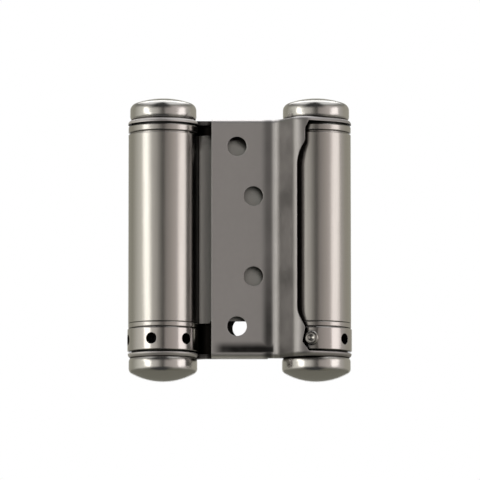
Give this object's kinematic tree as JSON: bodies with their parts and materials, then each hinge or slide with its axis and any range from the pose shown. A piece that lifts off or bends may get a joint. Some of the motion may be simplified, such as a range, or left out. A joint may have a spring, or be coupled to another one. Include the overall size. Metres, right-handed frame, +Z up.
{
  "type": "double-acting spring hinge",
  "caption": "Double-acting spring hinge: pressed leaves on sprung barrels joined by an S-shaped web, so that a door swings both ways and closes itself.",
  "frame": {"origin": "midway between the jamb leaf's outer screw holes, on its mounting face", "axes": "+Y out of the jamb leaf's mounting face, +Z up along the barrels, +X from the jamb barrel to the door barrel; the viewer of the picture looks along +Y"},
  "size_m": [0.0715, 0.0278, 0.0905],
  "materials": {
    "web": "bright nickel plate on rolled sheet",
    "leaf": "satin nickel plate on pressed sheet",
    "cap": "bright nickel plate, turned",
    "bushing": "bright nickel plate, turned",
    "collar": "bright nickel plate, turned",
    "pin": "plain steel, cold headed",
    "pintle": "ground steel",
    "washer": "hardened steel, oiled",
    "spring": "oil-tempered spring steel"
  },
  "bodies": {
    "jamb_leaf": {"jamb_leaf": "leaf", "jamb_pintle": "pintle", "jamb_top_cap": "cap", "jamb_bottom_cap": "cap", "jamb_lower_washer": "washer"},
    "web": {"center_web": "web", "door_upper_bushing": "bushing", "door_lower_bushing": "bushing", "door_upper_washer": "washer", "door_spring": "spring", "jamb_upper_bushing": "bushing", "jamb_lower_bushing": "bushing", "jamb_upper_washer": "washer", "jamb_spring": "spring"},
    "door_leaf": {"door_leaf": "leaf", "door_pintle": "pintle", "door_top_cap": "cap", "door_bottom_cap": "cap", "door_lower_washer": "washer"},
    "jamb_collar": {"jamb_tension_collar": "collar", "jamb_tension_pin": "pin"},
    "door_collar": {"door_tension_collar": "collar", "door_tension_pin": "pin"}
  },
  "joints": [
    {"name": "web_swing", "type": "hinge", "parent": "jamb_leaf", "child": "web", "pos_m": [-0.0252, -0.0042, 0], "axis": [0, 0, -1], "range_deg": [0, 180], "stiffness_Nm_per_rad": 0.35, "deforming": ["jamb_spring"]},
    {"name": "door_swing", "type": "hinge", "parent": "web", "child": "door_leaf", "pos_m": [0.0235, -0.0042, 0], "axis": [0, 0, 1], "range_deg": [0, 180], "stiffness_Nm_per_rad": 0.35, "springref_deg": -120.32, "deforming": ["door_spring"]},
    {"name": "jamb_tension", "type": "hinge", "parent": "jamb_leaf", "child": "jamb_collar", "pos_m": [-0.0252, -0.0042, -0.033], "axis": [0, 0, 1], "range_deg": [-49, 190], "stiffness_Nm_per_rad": 0.35},
    {"name": "door_tension", "type": "hinge", "parent": "door_leaf", "child": "door_collar", "pos_m": [0.0235, -0.0042, -0.033], "axis": [0, 0, 1], "range_deg": [0, 240], "stiffness_Nm_per_rad": 0.35, "springref_deg": -120.32}
  ]
}
